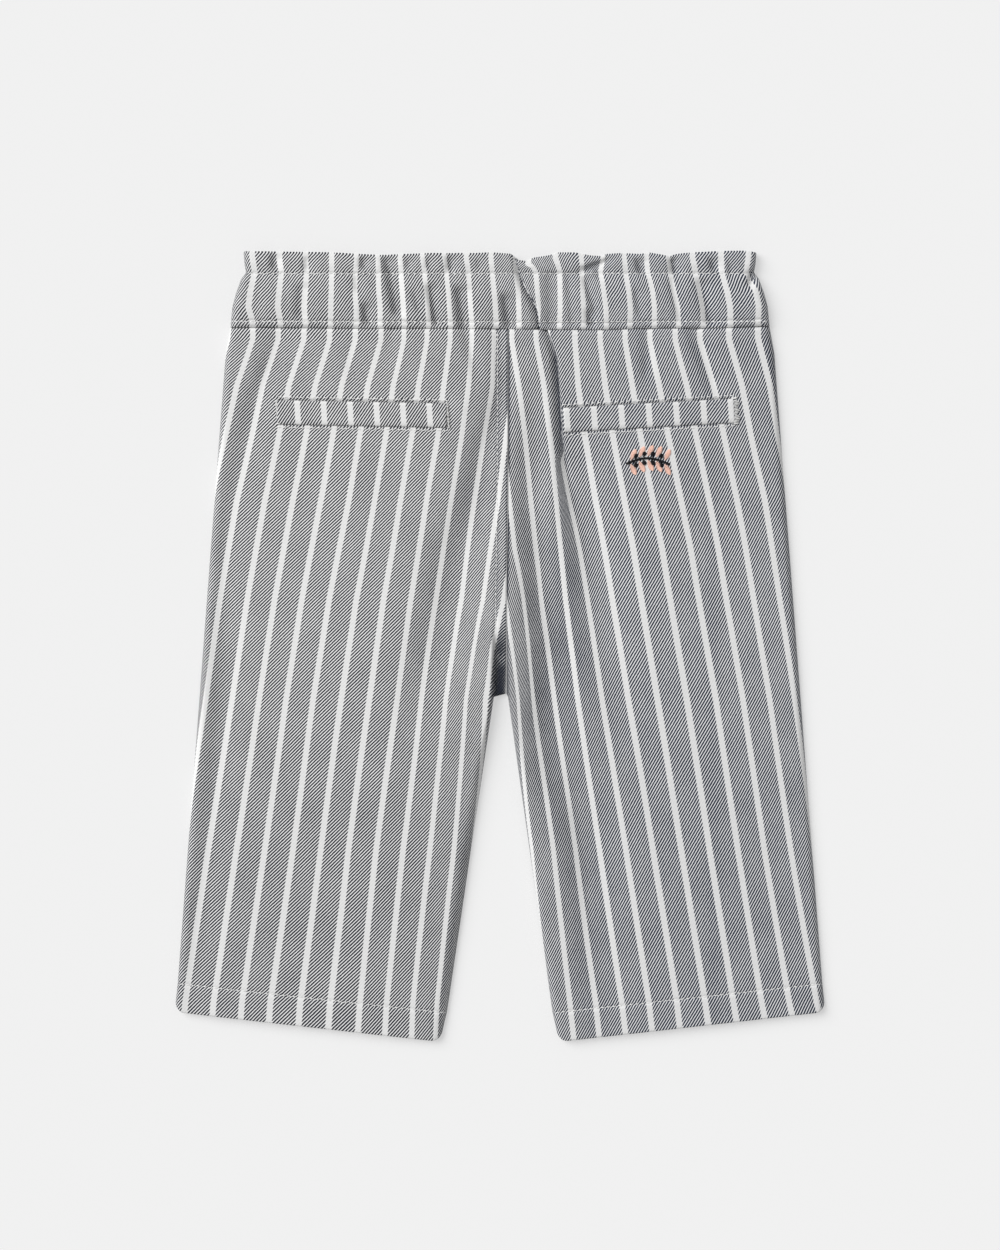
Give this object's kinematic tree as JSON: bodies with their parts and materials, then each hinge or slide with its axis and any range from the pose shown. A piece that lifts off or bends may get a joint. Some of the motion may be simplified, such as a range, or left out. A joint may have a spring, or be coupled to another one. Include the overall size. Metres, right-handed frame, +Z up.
{
  "type": "flared trousers",
  "caption": "Infant's pull-on trousers in striped twill, slightly flared, laid flat with the back uppermost: elasticated waistband with a frilled heading, welt pockets, stitched hems.",
  "frame": {"origin": "on the surface the garment lies on, under the middle of its box, between the legs just below the fork", "axes": "+Y from the hems to the waist, +X to the wearer's right (the back faces up), +Z up out of the surface"},
  "size_m": [0.2668, 0.325, 0.0082],
  "materials": {
    "striped_twill": "matt cotton twill, navy and white rib with white stripes",
    "welt_twill": "the same twill cut for the welts"
  },
  "bodies": {
    "root": {"front_left": "striped_twill", "front_right": "striped_twill", "back_left": "striped_twill", "back_right": "striped_twill", "waistband_front": "striped_twill", "waistband_back": "striped_twill", "welt_left": "welt_twill", "welt_right": "welt_twill"}
  },
  "joints": []
}
